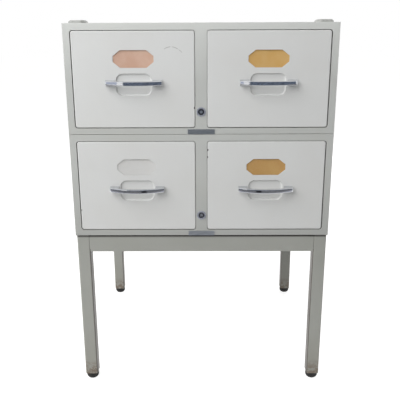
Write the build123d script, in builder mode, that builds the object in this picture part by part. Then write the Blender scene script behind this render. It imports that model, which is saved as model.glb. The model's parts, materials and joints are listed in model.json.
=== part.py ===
"""Steel card drawer cabinet: two stacked two-drawer modules on a four-legged stand.

Millimetres, +Z up. The fronts face -Y. The origin is on the floor, at the middle of the overall box.
"""
import os

from build123d import *

os.makedirs("parts", exist_ok=True)

# ---- driving dimensions ----
WIDTH = 550.0
DEPTH = 500.0
MODULE_HEIGHT = 222.0
LEG_LENGTH = 344.0
FOOT_HEIGHT = 15.0
HANDLE_REACH = 25.0
SHEET = 1.2
SKIN = 1.0
FIT = 0.3

# ---- placing ----
FRONT_Y = HANDLE_REACH - (DEPTH + HANDLE_REACH) / 2
BACK_Y = FRONT_Y + DEPTH
STAND_TOP = LEG_LENGTH + FOOT_HEIGHT
MODULES = {"lower": STAND_TOP, "upper": STAND_TOP + MODULE_HEIGHT}
SIDES = {"left": -1, "right": 1}

# ---- front frame and its openings, heights from the module's underside ----
MULLION = 23.8
OPENING_WIDTH = 249.2
OPENING_BOTTOM = 13.2
OPENING_HEIGHT = 195.0
OPENING_RADIUS = 6.0
RETURN_DEPTH = 15.0
FRAME_FLANGE = 12.0
FRAME_EDGE = 0.7
FRAME_SEAM = 0.7
DRAWER_X = (MULLION + OPENING_WIDTH) / 2
OPENING_Z = OPENING_BOTTOM + OPENING_HEIGHT / 2

# ---- casing ----
CASING_FLANGE = 8.0
BEND = 2.0
BACK_INSET = 8.0
BASE_LIFT = 9.0
PAD_HEIGHT = 6.0
PAD_INNER_X = 232.5
PAD_OUTER_X = 265.5
PAD_LENGTH = 32.0
PAD_SETBACK = 20.0
PAD_CHAMFER = 8.0
PAD_BEVEL = 3.0
PARTITION_HALF = MULLION / 2 - SHEET

# ---- drawer front ----
FRONT_GAP = 1.1
FRONT_SHIFT = 0.4
FRONT_WIDTH = OPENING_WIDTH - 2 * FRONT_GAP
FRONT_HEIGHT = OPENING_HEIGHT - 2 * FRONT_GAP
FRONT_DEPTH = 18.0
FRONT_RADIUS = 5.0
FRONT_ROLL = 2.0
LINER_FLANGE = 10.0
HANDLE_Z = 105.2
RECESS_Z = 101.8
RECESS_SIZE = (72.4, 44.4)
RECESS_RADIUS = 13.0
RECESS_DEPTH = 3.6
RECESS_TAPER = 30.0
RECESS_FLOOR_ROUND = 2.0
WINDOW_Z = 152.4
WINDOW_SIZE = (82.0, 34.5)
WINDOW_CUT = (14.5, 11.5)
CARD_SIZE = (88.0, 40.0)
CARD_THICKNESS = 0.4

# ---- handle ----
HANDLE_LENGTH = 115.0
HANDLE_HEIGHT = 12.4
HANDLE_WAIST = 9.0
HANDLE_FLARE = 6.5
BLOCK_LENGTH = 19.5
BLOCK_REACH = 13.0
END_REACH = 10.5
BOW_THICKNESS = 7.0
HANDLE_ROUND = 1.2
HANDLE_BEVEL = (1.3, 2.6)

# ---- slides: channel on the cabinet, middle member, rail on the tray ----
SLIDE_Z = 120.0
SLIDE_SHEET = 1.5
CHANNEL_DEPTH = 12.0
CHANNEL_HEIGHT = 38.0
CHANNEL_LIP = 3.5
MIDDLE_LIP = 3.0
CHANNEL_LENGTH = 460.0
MIDDLE_LENGTH = 430.0
SLIDE_START = 18.0
SLIDE_ROOM = 13.8
POST_WIDTH = 30.0
POST_FOOT = 8.0
POST_PLACES = (50.0, 400.0)
RAIL_SETBACK = 1.0

# ---- tray ----
TRAY_BOTTOM = 20.0
TRAY_HEIGHT = 145.0
TRAY_LENGTH = 450.0
TRAY_RIM = 6.0
TRAY_RIM_DROP = 4.0
TRAY_FLANGE = 12.0
TRAY_BEND = 2.0
BEAD_COUNT = 3
BEAD_SPACING = 60.0
BEAD_WIDTH = 9.0
BEAD_HEIGHT = 1.8
BEAD_MARGIN = 40.0
TRAY_WIDTH = 2 * (DRAWER_X - PARTITION_HALF - SLIDE_ROOM)

# ---- lock ----
LOCK_Z = 46.5
LOCK_DIAMETER = 19.0
LOCK_RIM = 2.0
LOCK_RIM_ROUND = 1.4
LOCK_RIM_BEVEL = 1.0
PLUG_SINK = 0.4
BARREL_DIAMETER = 16.0
BARREL_LENGTH = 24.0
PLUG_DIAMETER = 12.0
PLUG_CLEARANCE = 0.05
PLUG_BEVEL = 0.6
KEYWAY = (1.8, 7.0)
KEYWAY_DEPTH = 3.0
CAM_LENGTH = 42.0
CAM_WIDTH = 9.0
CAM_THICKNESS = 2.5
CAM_SLOT_ROOM = (4.0, 2.0)
KEEPER_HEIGHT = 24.0
KEEPER_REACH = 9.6
KEEPER_GAP = 0.7
KEEPER_FOOT = 16.0

# ---- badge ----
BADGE_SIZE = (56.0, 10.0)
BADGE_Z = 5.7
BADGE_THICKNESS = 0.8
BADGE_CORNER = 1.0

# ---- stand ----
STAND_INSET = 2.0
LEG_SIZE = 28.0
LEG_WALL = 1.5
LEG_CORNER = 3.0
RAIL_HEIGHT = 36.0
RAIL_DEPTH = 22.0
RAIL_WALL = 1.5
RAIL_DROP = 1.6
FOOT_FLAT = 8.5
FOOT_SHOULDER = 8.5
FOOT_BULGE = (11.9, 2.4)
FOOT_PLUG = 12.0
FOOT_PLUG_LENGTH = 14.0


def facing(x, z, y=FRONT_Y):
    """An upright plane whose normal points to the front: extruding by a minus amount goes inward."""
    return Plane(origin=(x, y, z), x_dir=(1, 0, 0), z_dir=(0, -1, 0))


def level(x, y, z):
    """A level plane with its origin at the given point."""
    return Plane(origin=(x, y, z))


def save(piece, name):
    """Label a finished sub-part and write it as its own file."""
    piece.part.label = name
    export_step(piece.part, f"parts/{name}.step")


# ---------------------------------------------------------------- module

def casing(name, z):
    """Top and two sides bent from one sheet, with narrow flanges turned in under the sides."""
    with BuildPart() as shell:
        with BuildSketch(facing(0, z + MODULE_HEIGHT / 2, FRONT_Y + SHEET)) as section:
            Rectangle(WIDTH, MODULE_HEIGHT)
            fillet(section.vertices().group_by(Axis.Y)[-1], BEND)
            Rectangle(WIDTH - 2 * SHEET, MODULE_HEIGHT - 2 * SHEET, mode=Mode.SUBTRACT)
            with Locations((0, -MODULE_HEIGHT / 2)):
                Rectangle(WIDTH - 2 * CASING_FLANGE, 3 * SHEET, mode=Mode.SUBTRACT)
        extrude(amount=-(DEPTH - SHEET))
    save(shell, f"casing_{name}")


def front_frame(name, z):
    """Flat face with two drawer openings, turned back round each opening and inside the casing.

    The face stops a little above the module's underside, which leaves the seam between modules.
    """
    inside = (WIDTH - 2 * SHEET, MODULE_HEIGHT - 2 * SHEET)
    with BuildPart() as frame:
        with BuildSketch(facing(0, z + (MODULE_HEIGHT + FRAME_SEAM) / 2)):
            Rectangle(WIDTH, MODULE_HEIGHT - FRAME_SEAM)
        extrude(amount=-SHEET)
        fillet(frame.faces().sort_by(Axis.Y)[0].edges(), FRAME_EDGE)
        with BuildSketch(facing(0, z + MODULE_HEIGHT / 2, FRONT_Y + SHEET)):
            Rectangle(*inside)
            Rectangle(inside[0] - 2 * SHEET, inside[1] - 2 * SHEET, mode=Mode.SUBTRACT)
        extrude(amount=-FRAME_FLANGE)
        for side in SIDES.values():
            with BuildSketch(facing(side * DRAWER_X, z + OPENING_Z, FRONT_Y)):
                RectangleRounded(
                    OPENING_WIDTH + 2 * SHEET, OPENING_HEIGHT + 2 * SHEET, OPENING_RADIUS + SHEET
                )
            extrude(amount=-(RETURN_DEPTH + SHEET))
            with BuildSketch(facing(side * DRAWER_X, z + OPENING_Z, FRONT_Y)):
                RectangleRounded(OPENING_WIDTH, OPENING_HEIGHT, OPENING_RADIUS)
            extrude(amount=-(RETURN_DEPTH + SHEET), mode=Mode.SUBTRACT)
        with BuildSketch(facing(0, z + LOCK_Z)):
            Circle(BARREL_DIAMETER / 2 + PLUG_CLEARANCE)
        extrude(amount=-SHEET, mode=Mode.SUBTRACT)
    save(frame, f"front_frame_{name}")


def back_panel(name, z):
    """A pan let into the rear of the casing, its edges turned to the rear."""
    size = (WIDTH - 2 * SHEET, MODULE_HEIGHT - 2 * SHEET)
    with BuildPart() as pan:
        with BuildSketch(facing(0, z + MODULE_HEIGHT / 2, BACK_Y - BACK_INSET)):
            Rectangle(*size)
        extrude(amount=-BACK_INSET)
        with BuildSketch(facing(0, z + MODULE_HEIGHT / 2, BACK_Y - BACK_INSET + SHEET)):
            Rectangle(size[0] - 2 * SHEET, size[1] - 2 * SHEET)
        extrude(amount=-BACK_INSET, mode=Mode.SUBTRACT)
    save(pan, f"back_panel_{name}")


def base_panel(name, z):
    """The floor of the module, raised on turned-down edges so that the pads below fit under it."""
    start, end = FRONT_Y + SHEET + FRAME_FLANGE, BACK_Y - BACK_INSET
    size = (WIDTH - 2 * SHEET, end - start)
    with BuildPart() as pan:
        with BuildSketch(level(0, (start + end) / 2, z + SHEET)):
            Rectangle(*size)
        extrude(amount=BASE_LIFT)
        with BuildSketch(level(0, (start + end) / 2, z + SHEET)):
            Rectangle(size[0] - 2 * SHEET, size[1] - 2 * SHEET)
        extrude(amount=BASE_LIFT - SHEET, mode=Mode.SUBTRACT)
    save(pan, f"base_panel_{name}")


def partition(name, z):
    """A box post behind the mullion: two walls and a rear web, with slots for the lock's cam."""
    start, end = FRONT_Y + SHEET + FRAME_FLANGE, BACK_Y - BACK_INSET
    bottom, top = z + SHEET + BASE_LIFT, z + MODULE_HEIGHT - SHEET
    with BuildPart() as post:
        with BuildSketch(level(0, (start + end) / 2, bottom)):
            Rectangle(2 * PARTITION_HALF, end - start)
            with Locations((0, -SHEET)):
                Rectangle(2 * (PARTITION_HALF - SHEET), end - start, mode=Mode.SUBTRACT)
        extrude(amount=top - bottom)
        slot_y = FRONT_Y + BARREL_LENGTH + FIT + CAM_THICKNESS / 2
        with Locations((0, slot_y, z + LOCK_Z)):
            Box(
                2 * MULLION,
                CAM_THICKNESS + CAM_SLOT_ROOM[0],
                CAM_LENGTH + CAM_SLOT_ROOM[1],
                mode=Mode.SUBTRACT,
            )
    save(post, f"partition_{name}")


def stacking_pads(name, z):
    """Four low pads on the top, one near each corner, that locate a module stacked above."""
    with BuildPart() as pads:
        with BuildSketch(level(0, (FRONT_Y + BACK_Y) / 2, z + MODULE_HEIGHT)):
            reach = DEPTH / 2 - PAD_SETBACK
            with BuildLine():
                Polyline(
                    (PAD_OUTER_X, -reach),
                    (PAD_OUTER_X, -reach + PAD_LENGTH),
                    (PAD_INNER_X, -reach + PAD_LENGTH),
                    (PAD_INNER_X, -reach + PAD_CHAMFER),
                    (PAD_INNER_X + PAD_CHAMFER, -reach),
                    close=True,
                )
            make_face()
            mirror(about=Plane.YZ)
            mirror(about=Plane.XZ)
        extrude(amount=PAD_HEIGHT)
        chamfer(pads.faces().group_by(Axis.Z)[-1].edges(), PAD_BEVEL)
    save(pads, f"stacking_pads_{name}")


def badge_plate(name, z):
    """A thin bare plate on the bottom rail, under the mullion."""
    with BuildPart() as plate:
        with BuildSketch(facing(0, z + BADGE_Z)):
            RectangleRounded(*BADGE_SIZE, BADGE_CORNER)
        extrude(amount=BADGE_THICKNESS)
    save(plate, f"badge_plate_{name}")


# ---------------------------------------------------------------- slides

def lipped_channel(near, depth, height, lip):
    """A C section with turned-in lips, its web at `near` and its mouth towards the drawer's middle."""
    middle = near + depth / 2
    with Locations((middle, 0)):
        Rectangle(depth, height)
        Rectangle(depth - 2 * SLIDE_SHEET, height - 2 * SLIDE_SHEET, mode=Mode.SUBTRACT)
    with Locations((near + depth - SLIDE_SHEET / 2, 0)):
        Rectangle(SLIDE_SHEET, height - 2 * (SLIDE_SHEET + lip), mode=Mode.SUBTRACT)


# each member lies inside the one outside it with the same play all round
WALL_X = -(DRAWER_X - PARTITION_HALF)
MIDDLE_NEAR = WALL_X + SLIDE_SHEET + FIT
MIDDLE_DEPTH = CHANNEL_DEPTH - 2 * (SLIDE_SHEET + FIT)
MIDDLE_HEIGHT = CHANNEL_HEIGHT - 2 * (SLIDE_SHEET + FIT)
RAIL_OUTER = MIDDLE_HEIGHT - 2 * (SLIDE_SHEET + FIT)
RAIL_THROAT = MIDDLE_HEIGHT - 2 * (SLIDE_SHEET + MIDDLE_LIP + FIT)
RAIL_FEET_X = MIDDLE_NEAR + MIDDLE_DEPTH - SLIDE_SHEET - FIT - SLIDE_SHEET / 2
TRAY_SIDE_X = WALL_X + SLIDE_ROOM


def slide_channels(name, z):
    """The four fixed channels of one module, a pair for each drawer."""
    with BuildPart() as channels:
        for side in SIDES.values():
            with BuildSketch(facing(side * DRAWER_X, z + SLIDE_Z, FRONT_Y + SLIDE_START)):
                lipped_channel(WALL_X, CHANNEL_DEPTH, CHANNEL_HEIGHT, CHANNEL_LIP)
                mirror(about=Plane.YZ)
            extrude(amount=-CHANNEL_LENGTH)
    save(channels, f"slide_channels_{name}")


def slide_middles(name, x, z):
    """The pair of middle members of one drawer, which travel half as far as the drawer."""
    with BuildPart() as middles:
        with BuildSketch(facing(x, z + SLIDE_Z, FRONT_Y + SLIDE_START)):
            lipped_channel(MIDDLE_NEAR, MIDDLE_DEPTH, MIDDLE_HEIGHT, MIDDLE_LIP)
            mirror(about=Plane.YZ)
        extrude(amount=-MIDDLE_LENGTH)
    save(middles, f"slide_middles_{name}")


def tray_fittings(name, x, z, lock_side):
    """What is fixed to the tray's sides: two hat-section rails and the bracket that the lock's cam holds.

    The rails' feet are held behind the middle members' lips.
    """
    crown_x = TRAY_SIDE_X - SLIDE_SHEET / 2
    feet_x = RAIL_FEET_X - SLIDE_SHEET / 2
    keeper_y = FRONT_Y + BARREL_LENGTH + FIT + CAM_THICKNESS + KEEPER_GAP
    with BuildPart() as fittings:
        with BuildSketch(facing(x, z + SLIDE_Z, FRONT_Y + SLIDE_START + RAIL_SETBACK)):
            with Locations(((feet_x + TRAY_SIDE_X) / 2, 0)):
                Rectangle(TRAY_SIDE_X - feet_x, RAIL_THROAT)
            with Locations(((feet_x + crown_x) / 2 - SLIDE_SHEET / 4, 0)):
                Rectangle(
                    crown_x - feet_x - SLIDE_SHEET / 2,
                    RAIL_THROAT - 2 * SLIDE_SHEET,
                    mode=Mode.SUBTRACT,
                )
            with Locations((RAIL_FEET_X, 0)):
                Rectangle(SLIDE_SHEET, RAIL_OUTER)
                Rectangle(SLIDE_SHEET, RAIL_THROAT - 2 * SLIDE_SHEET, mode=Mode.SUBTRACT)
            mirror(about=Plane.YZ)
        extrude(amount=-MIDDLE_LENGTH)
        with BuildSketch(level(x + lock_side * TRAY_WIDTH / 2, keeper_y, z + LOCK_Z - KEEPER_HEIGHT / 2)):
            with Locations((lock_side * KEEPER_REACH / 2, SLIDE_SHEET / 2)):
                Rectangle(KEEPER_REACH, SLIDE_SHEET)
            with Locations((lock_side * SLIDE_SHEET / 2, KEEPER_FOOT / 2)):
                Rectangle(SLIDE_SHEET, KEEPER_FOOT)
        extrude(amount=KEEPER_HEIGHT)
    save(fittings, f"tray_fittings_{name}")


def slide_posts(name, z):
    """Upright hat-section posts on the casing's sides, which carry the outer channels."""
    outer = WIDTH / 2 - SHEET
    inner = 2 * DRAWER_X - PARTITION_HALF
    bottom, top = z + SHEET + BASE_LIFT, z + MODULE_HEIGHT - SHEET
    with BuildPart() as posts:
        with BuildSketch(level(0, FRONT_Y, bottom)):
            for place in POST_PLACES:
                with Locations(((inner + outer) / 2, place)):
                    Rectangle(outer - inner, POST_WIDTH)
                with Locations(((inner + outer) / 2 + SHEET, place)):
                    Rectangle(outer - inner, POST_WIDTH - 2 * SHEET, mode=Mode.SUBTRACT)
                for end in (-1, 1):
                    with Locations((outer - SHEET / 2, place + end * (POST_WIDTH + POST_FOOT) / 2)):
                        Rectangle(SHEET, POST_FOOT)
            mirror(about=Plane.YZ)
        extrude(amount=top - bottom)
    save(posts, f"slide_posts_{name}")


# ---------------------------------------------------------------- lock

def lock_body(name, z):
    """The fixed part of the cylinder lock: a rim with a bevelled mouth, and the barrel behind it."""
    radius = LOCK_DIAMETER / 2
    with BuildPart() as body:
        with BuildSketch(facing(0, z + LOCK_Z)):
            Circle(radius)
        extrude(amount=LOCK_RIM)
        fillet(body.edges().filter_by(GeomType.CIRCLE).sort_by(Axis.Y)[0], LOCK_RIM_ROUND)
        with BuildSketch(facing(0, z + LOCK_Z)):
            Circle(BARREL_DIAMETER / 2)
        extrude(amount=-BARREL_LENGTH)
        with BuildSketch(facing(0, z + LOCK_Z, FRONT_Y - LOCK_RIM)):
            Circle(PLUG_DIAMETER / 2)
        extrude(amount=-(BARREL_LENGTH + LOCK_RIM), mode=Mode.SUBTRACT)
        mouth = body.edges().filter_by(GeomType.CIRCLE).group_by(Axis.Y)[0].sort_by(SortBy.RADIUS)[0]
        chamfer(mouth, LOCK_RIM_BEVEL)
    save(body, f"lock_body_{name}")


def lock_plug(name, z):
    """The turning plug with its keyway, and the two-ended cam on its rear end, upright when unlocked."""
    face = FRONT_Y - LOCK_RIM + PLUG_SINK
    cam_y = FRONT_Y + BARREL_LENGTH + FIT
    with BuildPart() as plug:
        with BuildSketch(facing(0, z + LOCK_Z, face)):
            Circle(PLUG_DIAMETER / 2 - PLUG_CLEARANCE)
        extrude(amount=-(cam_y + CAM_THICKNESS - face))
        chamfer(plug.faces().sort_by(Axis.Y)[0].edges(), PLUG_BEVEL)
        with BuildSketch(facing(0, z + LOCK_Z, face)):
            SlotOverall(KEYWAY[1], KEYWAY[0], rotation=90)
        extrude(amount=-KEYWAY_DEPTH, mode=Mode.SUBTRACT)
        with BuildSketch(facing(0, z + LOCK_Z, cam_y)):
            SlotOverall(CAM_LENGTH, CAM_WIDTH, rotation=90)
            Circle(PLUG_DIAMETER / 2 - PLUG_CLEARANCE)
        extrude(amount=-CAM_THICKNESS)
    save(plug, f"lock_plug_{name}")


# ---------------------------------------------------------------- drawer

def dish(x, z, grow):
    """The pressed finger recess as a solid: a rounded oblong that narrows to its floor."""
    width, height = (size + 2 * grow for size in RECESS_SIZE)
    with BuildPart() as hollow:
        with BuildSketch(facing(x, z + RECESS_Z)):
            RectangleRounded(width, height, RECESS_RADIUS + grow)
        extrude(amount=-(RECESS_DEPTH + grow), taper=RECESS_TAPER)
        fillet(hollow.faces().sort_by(Axis.Y)[-1].edges(), RECESS_FLOOR_ROUND + grow)
    return hollow.part


def front_panel(name, x, z):
    """The pressed outer skin: rolled edges, an eight-sided card window and the finger recess."""
    centre_z = z + OPENING_Z
    with BuildPart() as cavity:
        with BuildSketch(facing(x, centre_z, FRONT_Y + SKIN)):
            RectangleRounded(FRONT_WIDTH - 2 * SKIN, FRONT_HEIGHT - 2 * SKIN, FRONT_RADIUS - SKIN)
        extrude(amount=-FRONT_DEPTH)
        fillet(cavity.faces().sort_by(Axis.Y)[0].edges(), FRONT_ROLL - SKIN)
        add(dish(x, z, SKIN), mode=Mode.SUBTRACT)
    with BuildPart() as skin:
        with BuildSketch(facing(x, centre_z)):
            RectangleRounded(FRONT_WIDTH, FRONT_HEIGHT, FRONT_RADIUS)
        extrude(amount=-FRONT_DEPTH)
        fillet(skin.faces().sort_by(Axis.Y)[0].edges(), FRONT_ROLL)
        add(cavity.part, mode=Mode.SUBTRACT)
        add(dish(x, z, 0), mode=Mode.SUBTRACT)
        with BuildSketch(facing(x, z + WINDOW_Z)):
            with BuildLine():
                corner_x, corner_z = WINDOW_SIZE[0] / 2, WINDOW_SIZE[1] / 2
                Polyline(
                    (0, corner_z),
                    (corner_x - WINDOW_CUT[0], corner_z),
                    (corner_x, corner_z - WINDOW_CUT[1]),
                    (corner_x, 0),
                )
                mirror(about=Plane.XZ)
                mirror(about=Plane.YZ)
            make_face()
        extrude(amount=-SKIN, mode=Mode.SUBTRACT)
    save(skin, f"front_panel_{name}")


def front_liner(name, x, z):
    """The inner pan that closes the skin from behind."""
    width, height = FRONT_WIDTH - 2 * SKIN, FRONT_HEIGHT - 2 * SKIN
    radius = FRONT_RADIUS - SKIN
    with BuildPart() as liner:
        with BuildSketch(facing(x, z + OPENING_Z, FRONT_Y + FRONT_DEPTH - LINER_FLANGE)):
            RectangleRounded(width, height, radius)
        extrude(amount=-LINER_FLANGE)
        with BuildSketch(facing(x, z + OPENING_Z, FRONT_Y + FRONT_DEPTH - LINER_FLANGE)):
            RectangleRounded(width - 2 * SKIN, height - 2 * SKIN, radius - SKIN)
        extrude(amount=-(LINER_FLANGE - SKIN), mode=Mode.SUBTRACT)
    save(liner, f"front_liner_{name}")


def label_card(name, x, z):
    """The card behind the window."""
    with BuildPart() as card:
        with BuildSketch(facing(x, z + WINDOW_Z, FRONT_Y + SKIN)):
            Rectangle(*CARD_SIZE)
        extrude(amount=-CARD_THICKNESS)
    save(card, f"label_card_{name}")


def handle(name, x, z):
    """A bow handle: an arched bar whose ends flare to the panel, its front face bevelled all along."""
    half, cut = HANDLE_LENGTH / 2, HANDLE_LENGTH / 2 - BLOCK_LENGTH
    with BuildPart() as bow:
        with BuildSketch(level(x, FRONT_Y, z + HANDLE_Z - HANDLE_HEIGHT / 2)) as plan:
            with BuildLine():
                Polyline((cut, -BLOCK_REACH), (cut, 0), (half, 0), (half, -END_REACH))
                ThreePointArc((half, -END_REACH), (0, -HANDLE_REACH), (-half, -END_REACH))
                Polyline((-half, -END_REACH), (-half, 0), (-cut, 0), (-cut, -BLOCK_REACH))
                ThreePointArc((-cut, -BLOCK_REACH), (0, BOW_THICKNESS - HANDLE_REACH), (cut, -BLOCK_REACH))
            make_face()
            fillet(plan.vertices().group_by(Axis.Y)[0], HANDLE_ROUND)
        extrude(amount=HANDLE_HEIGHT)
        with BuildSketch(Plane(origin=(x - half, FRONT_Y, z + HANDLE_Z), x_dir=(0, 1, 0), z_dir=(1, 0, 0))):
            with BuildLine():
                Polyline(
                    (0, 0),
                    (0, HANDLE_HEIGHT / 2),
                    (-HANDLE_FLARE, HANDLE_WAIST / 2),
                    (-HANDLE_REACH, HANDLE_WAIST / 2),
                    (-HANDLE_REACH, 0),
                )
                mirror(about=Plane.XZ)
            make_face()
        extrude(amount=HANDLE_LENGTH, mode=Mode.INTERSECT)
        front_face = bow.faces().filter_by(GeomType.CYLINDER).sort_by(SortBy.AREA)[-1]
        rims = front_face.edges().filter_by(GeomType.CIRCLE)
        chamfer(rims, HANDLE_BEVEL[0], HANDLE_BEVEL[1], reference=front_face)
        ends = bow.faces().filter_by(GeomType.CYLINDER).sort_by(SortBy.AREA)[-1].edges().filter_by(Axis.Z)
        fillet(ends, HANDLE_ROUND)
    save(bow, f"handle_{name}")


def tray(name, x, z):
    """The card tray: beaded floor, sides with turned-in rims, rear wall and front flanges."""
    start = FRONT_Y + FRONT_DEPTH
    centre_z = z + TRAY_BOTTOM + TRAY_HEIGHT / 2
    half = TRAY_WIDTH / 2
    with BuildPart() as box:
        with BuildSketch(facing(x, centre_z, start)):
            RectangleRounded(TRAY_WIDTH, TRAY_HEIGHT, TRAY_BEND)
            RectangleRounded(
                TRAY_WIDTH - 2 * SKIN, TRAY_HEIGHT - 2 * SKIN, TRAY_BEND - SKIN, mode=Mode.SUBTRACT
            )
            with Locations((0, TRAY_HEIGHT / 2)):
                Rectangle(TRAY_WIDTH - 2 * TRAY_RIM, 3 * SKIN, mode=Mode.SUBTRACT)
            for end in (-1, 1):
                with Locations((end * (half - TRAY_RIM - SKIN / 2), (TRAY_HEIGHT - TRAY_RIM_DROP) / 2)):
                    Rectangle(SKIN, TRAY_RIM_DROP)
        extrude(amount=-TRAY_LENGTH)
        with BuildSketch(facing(x, centre_z, start + TRAY_LENGTH - SKIN)):
            RectangleRounded(TRAY_WIDTH, TRAY_HEIGHT, TRAY_BEND)
        extrude(amount=-SKIN)
        with BuildSketch(facing(x, centre_z, start)):
            RectangleRounded(TRAY_WIDTH, TRAY_HEIGHT, TRAY_BEND)
            with Locations((0, TRAY_FLANGE)):
                Rectangle(TRAY_WIDTH - 2 * TRAY_FLANGE, TRAY_HEIGHT, mode=Mode.SUBTRACT)
        extrude(amount=-SKIN)
        with BuildSketch(level(x, start + TRAY_LENGTH / 2, z + TRAY_BOTTOM)):
            with GridLocations(BEAD_SPACING, 0, BEAD_COUNT, 1):
                SlotOverall(TRAY_LENGTH - 2 * BEAD_MARGIN, BEAD_WIDTH, rotation=90)
        extrude(amount=BEAD_HEIGHT + SKIN)
        with BuildSketch(level(x, start + TRAY_LENGTH / 2, z + TRAY_BOTTOM)):
            with GridLocations(BEAD_SPACING, 0, BEAD_COUNT, 1):
                SlotOverall(TRAY_LENGTH - 2 * (BEAD_MARGIN + SKIN), BEAD_WIDTH - 2 * SKIN, rotation=90)
        extrude(amount=BEAD_HEIGHT, mode=Mode.SUBTRACT)
    save(box, f"tray_{name}")


# ---------------------------------------------------------------- stand

def leg(name, x, y):
    """A square tube leg, open at both ends."""
    with BuildPart() as tube:
        with BuildSketch(level(x, y, FOOT_HEIGHT)):
            RectangleRounded(LEG_SIZE, LEG_SIZE, LEG_CORNER)
            RectangleRounded(
                LEG_SIZE - 2 * LEG_WALL, LEG_SIZE - 2 * LEG_WALL, LEG_CORNER - LEG_WALL, mode=Mode.SUBTRACT
            )
        extrude(amount=LEG_LENGTH)
    save(tube, f"leg_{name}")


def foot(name, x, y):
    """A domed rubber foot, its round plug pushed up into the leg."""
    rim = LEG_SIZE / 2
    with BuildPart() as rubber:
        with BuildSketch(Plane(origin=(x, y, 0), x_dir=(1, 0, 0), z_dir=(0, -1, 0))):
            with BuildLine():
                Polyline((FOOT_FLAT, 0), (0, 0), (0, FOOT_HEIGHT + FOOT_PLUG_LENGTH))
                Polyline(
                    (0, FOOT_HEIGHT + FOOT_PLUG_LENGTH),
                    (FOOT_PLUG, FOOT_HEIGHT + FOOT_PLUG_LENGTH),
                    (FOOT_PLUG, FOOT_HEIGHT),
                    (rim, FOOT_HEIGHT),
                    (rim, FOOT_SHOULDER),
                )
                ThreePointArc((rim, FOOT_SHOULDER), FOOT_BULGE, (FOOT_FLAT, 0))
            make_face()
        revolve(axis=Axis((x, y, 0), (0, 0, 1)))
    save(rubber, f"foot_{name}")


def stand_rails(half_x, front, back):
    """Four channel rails between the legs; the front and rear ones lie a little below the side ones."""
    top = STAND_TOP - RAIL_HEIGHT / 2
    inner_x = half_x - LEG_SIZE
    start, end = front + LEG_SIZE, back - LEG_SIZE
    runs = [
        (Plane(origin=(-inner_x, front, top - RAIL_DROP), x_dir=(0, 1, 0), z_dir=(1, 0, 0)), 2 * inner_x),
        (Plane(origin=(inner_x, back, top - RAIL_DROP), x_dir=(0, -1, 0), z_dir=(-1, 0, 0)), 2 * inner_x),
        (Plane(origin=(half_x, start, top), x_dir=(-1, 0, 0), z_dir=(0, 1, 0)), end - start),
        (Plane(origin=(-half_x, end, top), x_dir=(1, 0, 0), z_dir=(0, -1, 0)), end - start),
    ]
    with BuildPart() as rails:
        for plane, length in runs:
            with BuildSketch(plane):
                with Locations((RAIL_DEPTH / 2, 0)):
                    Rectangle(RAIL_DEPTH, RAIL_HEIGHT)
                with Locations((RAIL_DEPTH / 2 + RAIL_WALL, 0)):
                    Rectangle(RAIL_DEPTH, RAIL_HEIGHT - 2 * RAIL_WALL, mode=Mode.SUBTRACT)
            extrude(amount=length)
    save(rails, "stand_rails")


# ---------------------------------------------------------------- assembly

for module, height in MODULES.items():
    casing(module, height)
    front_frame(module, height)
    back_panel(module, height)
    base_panel(module, height)
    partition(module, height)
    stacking_pads(module, height)
    badge_plate(module, height)
    slide_channels(module, height)
    slide_posts(module, height)
    lock_body(module, height)
    lock_plug(module, height)
    for hand, sign in SIDES.items():
        drawer, drawer_x = f"{module}_{hand}", sign * DRAWER_X
        front_x = sign * (DRAWER_X - FRONT_SHIFT)
        front_panel(drawer, front_x, height)
        front_liner(drawer, front_x, height)
        label_card(drawer, front_x, height)
        handle(drawer, front_x, height)
        tray(drawer, drawer_x, height)
        tray_fittings(drawer, drawer_x, height, -sign)
        slide_middles(drawer, drawer_x, height)

STAND_HALF = WIDTH / 2 - STAND_INSET
STAND_FRONT = FRONT_Y + STAND_INSET
LEG_X = STAND_HALF - LEG_SIZE / 2
for depth_name, leg_y in (("front", STAND_FRONT + LEG_SIZE / 2), ("rear", BACK_Y - LEG_SIZE / 2)):
    for hand, sign in SIDES.items():
        leg(f"{depth_name}_{hand}", sign * LEG_X, leg_y)
        foot(f"{depth_name}_{hand}", sign * LEG_X, leg_y)
stand_rails(STAND_HALF, STAND_FRONT, BACK_Y)
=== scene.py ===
"""Dresses the steel card drawer cabinet: enamel, chrome, cards, small fittings, light and camera.

The frame is in metres, +Z up, and the drawer fronts face -Y. Materials read it in millimetres.
"""
import json
from math import radians

import bmesh
import bpy
from mathutils import Matrix, Vector


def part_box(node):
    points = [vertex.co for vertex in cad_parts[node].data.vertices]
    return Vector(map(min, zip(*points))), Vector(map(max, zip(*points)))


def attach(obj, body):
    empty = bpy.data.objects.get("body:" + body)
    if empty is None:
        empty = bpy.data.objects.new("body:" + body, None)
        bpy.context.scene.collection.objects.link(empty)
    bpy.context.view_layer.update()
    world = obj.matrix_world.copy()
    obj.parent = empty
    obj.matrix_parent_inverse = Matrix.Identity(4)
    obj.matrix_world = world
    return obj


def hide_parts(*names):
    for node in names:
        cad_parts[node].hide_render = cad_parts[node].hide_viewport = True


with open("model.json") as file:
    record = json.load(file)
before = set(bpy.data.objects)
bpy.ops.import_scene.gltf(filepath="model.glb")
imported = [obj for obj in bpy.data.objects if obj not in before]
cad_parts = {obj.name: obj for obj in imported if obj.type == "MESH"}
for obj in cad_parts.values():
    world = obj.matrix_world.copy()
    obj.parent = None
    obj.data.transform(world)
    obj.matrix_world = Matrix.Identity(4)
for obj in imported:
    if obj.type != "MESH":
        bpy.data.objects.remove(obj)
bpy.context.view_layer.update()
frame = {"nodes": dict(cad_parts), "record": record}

MM = 0.001
MODULES = ("lower", "upper")
DRAWERS = [f"{module}_{side}" for module in MODULES for side in ("left", "right")]

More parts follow.
